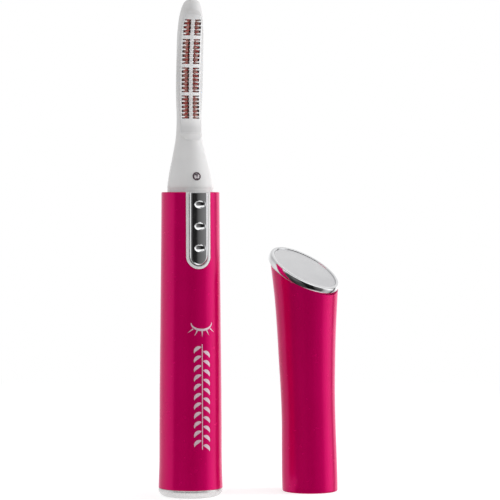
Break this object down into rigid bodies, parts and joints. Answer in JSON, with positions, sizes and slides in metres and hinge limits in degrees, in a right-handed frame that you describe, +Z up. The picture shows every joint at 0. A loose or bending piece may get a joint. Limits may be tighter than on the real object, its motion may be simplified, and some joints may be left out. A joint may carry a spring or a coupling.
{
  "type": "heated eyelash curler",
  "caption": "Slim battery-heated eyelash curler: round handle with slide switch, white neck and curved comb head with heated wire behind a slotted guard, and a separate slanted-top cap.",
  "frame": {"origin": "centre of the end cap's flat foot, on the floor, on the handle's axis", "axes": "+Z up along the handle, towards the comb; -Y is the front, where the switch and the comb face; the cap stands beside the handle at +X"},
  "size_m": [0.0594, 0.0235, 0.1549],
  "materials": {
    "magenta_lacquer": "glossy metallic magenta lacquer",
    "satin_silver": "satin, fine radial brushing",
    "bright_chrome": "bright chrome plating",
    "white_plastic": "smooth satin white moulding",
    "grey_plastic": "fine matt texture",
    "black_rubber": "matt",
    "nickel_contact": "bright nickel plated strip",
    "copper_heater": "oxidised dark red resistance wire",
    "ceramic_core": "fired ceramic, standing in as a matt material",
    "board_green": "solder mask",
    "cell_steel": "plated steel can",
    "cell_wrap": "plain printed film",
    "clear_lens": "clear moulded lens with a pink cast",
    "dark_ring": "dark smoked plastic",
    "screw_steel": "zinc plated",
    "lead_insulation": "silicone insulation",
    "foam_pad": "double sided foam"
  },
  "bodies": {
    "base": {"base_cap": "satin_silver", "base_o_ring": "black_rubber", "negative_contact": "nickel_contact", "negative_spring": "nickel_contact"},
    "battery": {"battery_cell": "cell_steel", "battery_label": "cell_wrap"},
    "handle": {"handle_sleeve": "magenta_lacquer", "chassis_front": "white_plastic", "chassis_rear": "white_plastic", "chassis_screws": "screw_steel", "switch_bezel": "white_plastic", "comb_guard": "white_plastic", "heater_core_left": "ceramic_core", "heater_core_right": "ceramic_core", "heating_coil_left": "copper_heater", "heating_coil_right": "copper_heater", "heater_terminal": "ceramic_core", "heater_end_support": "ceramic_core", "heater_leads": "lead_insulation", "circuit_board": "board_green", "switch_body": "grey_plastic", "indicator_led": "clear_lens", "led_lens": "clear_lens", "led_ring": "dark_ring", "resistor": "grey_plastic", "positive_contact": "nickel_contact", "negative_strip": "nickel_contact"},
    "slider": {"switch_slider": "bright_chrome", "slider_carrier": "grey_plastic", "switch_knob": "grey_plastic"},
    "cap": {"cap_shell": "magenta_lacquer", "cap_trim_ring": "bright_chrome", "cap_disc": "satin_silver", "cap_liner": "white_plastic", "disc_adhesive_pad": "foam_pad"}
  },
  "joints": [
    {"name": "handle_lift", "type": "slide", "parent": "base", "child": "handle", "axis": [0, 0, 1], "range_m": [0, 0.07]},
    {"name": "battery_lift", "type": "slide", "parent": "base", "child": "battery", "axis": [0, 0, 1], "range_m": [0, 0.0106]},
    {"name": "switch_slide", "type": "slide", "parent": "handle", "child": "slider", "axis": [0, 0, 1], "range_m": [0, 0.0035]},
    {"name": "cap_lift", "type": "slide", "parent": "base", "child": "cap", "axis": [0, 0, 1], "range_m": [0, 0.08]}
  ],
  "couplings": [
    {"joint": "battery_lift", "follows": "handle_lift", "ratio": 0.15}
  ]
}
